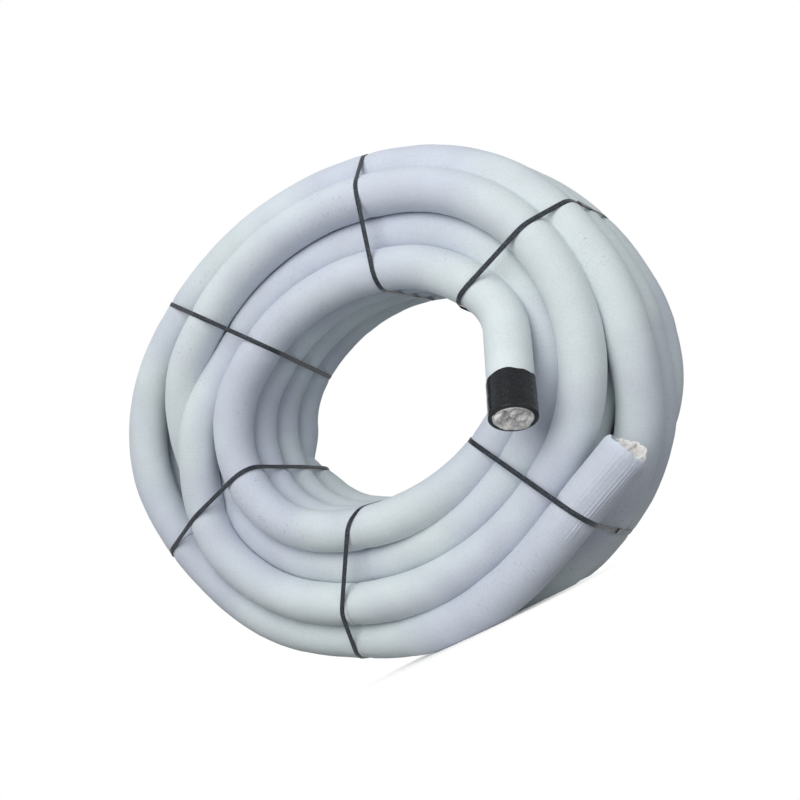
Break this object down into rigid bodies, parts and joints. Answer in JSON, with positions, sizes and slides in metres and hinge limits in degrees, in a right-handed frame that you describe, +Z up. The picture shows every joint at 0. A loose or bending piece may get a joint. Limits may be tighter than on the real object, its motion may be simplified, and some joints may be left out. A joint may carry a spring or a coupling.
{
  "type": "coil of sleeved corrugated drainage pipe",
  "caption": "Coil of corrugated plastic drain pipe in a white non-woven filter sleeve, tied with black straps, its inner mouth taped and its outer end torn.",
  "frame": {"origin": "on the floor under the middle of the whole object, which stands on its rim; the coil's axis is 77 mm behind it", "axes": "+Z up, Y along the coil's axis with its front face toward -Y, X along the oval coil's long side"},
  "size_m": [1.5797, 0.6118, 1.3384],
  "materials": {
    "filter_fleece": "matt needle-punched fleece",
    "pipe_plastic": "extruded, satin",
    "tape": "glossy film",
    "tucked_fleece": "crumpled, dusty",
    "strap_plastic": "embossed, satin",
    "seal_metal": "dark lacquer"
  },
  "bodies": {
    "root": {"filter_sleeve": "filter_fleece", "pipe_end_inner": "pipe_plastic", "pipe_end_outer": "pipe_plastic", "end_tape": "tape", "mouth_fabric": "tucked_fleece", "strap_1": "strap_plastic", "strap_2": "strap_plastic", "strap_3": "strap_plastic", "strap_4": "strap_plastic", "strap_5": "strap_plastic", "strap_6": "strap_plastic", "strap_seal_1": "seal_metal", "strap_seal_2": "seal_metal", "strap_seal_3": "seal_metal", "strap_seal_4": "seal_metal", "strap_seal_5": "seal_metal", "strap_seal_6": "seal_metal"}
  },
  "joints": []
}
